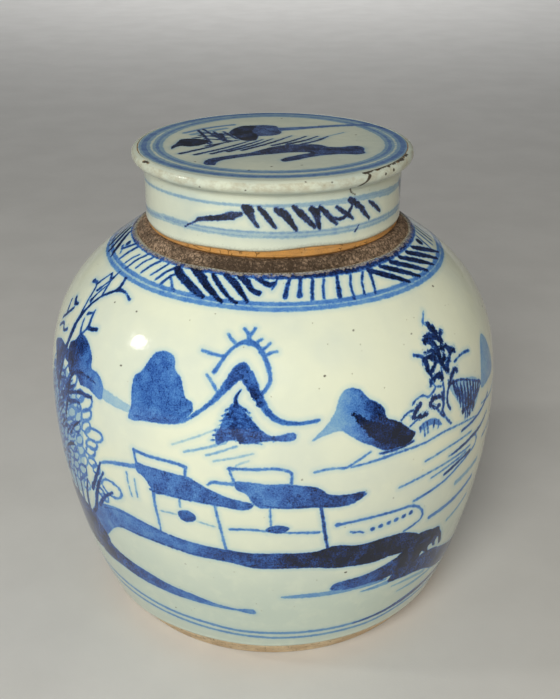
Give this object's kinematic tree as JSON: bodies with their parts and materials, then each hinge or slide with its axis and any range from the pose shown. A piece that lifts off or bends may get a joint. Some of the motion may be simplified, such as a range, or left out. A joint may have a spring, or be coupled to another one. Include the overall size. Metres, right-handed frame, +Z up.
{
  "type": "ginger jar",
  "caption": "Squat lidded storage jar with high round shoulders, a short hidden neck and a flat flanged lid that drops over it.",
  "frame": {"origin": "centre of the foot ring's underside", "axes": "+Z up along the axis of turning, -Y towards the painted front, +X to the right of a viewer who faces that front"},
  "size_m": [0.1952, 0.1952, 0.2037],
  "materials": {
    "buff_clay": "unglazed, matt, fine grained",
    "stained_clay": "unglazed, matt, stained brown with age",
    "orange_clay": "unglazed, matt, burnt orange where bare",
    "outer_glaze": "glossy clear glaze with a green tint over cobalt blue brushwork",
    "inner_glaze": "glossy clear glaze with a green tint"
  },
  "bodies": {
    "jar": {"jar_lower_wall": "buff_clay", "jar_shoulder_wall": "stained_clay", "jar_neck_wall": "stained_clay", "jar_outer_glaze": "outer_glaze", "jar_inner_glaze": "inner_glaze", "jar_base_glaze": "inner_glaze"},
    "lid": {"lid_wall": "orange_clay", "lid_outer_glaze": "outer_glaze", "lid_inner_glaze": "inner_glaze"}
  },
  "joints": [
    {"name": "lid_lift", "type": "slide", "parent": "jar", "child": "lid", "axis": [0, 0, 1], "range_m": [0, 0.06]}
  ]
}
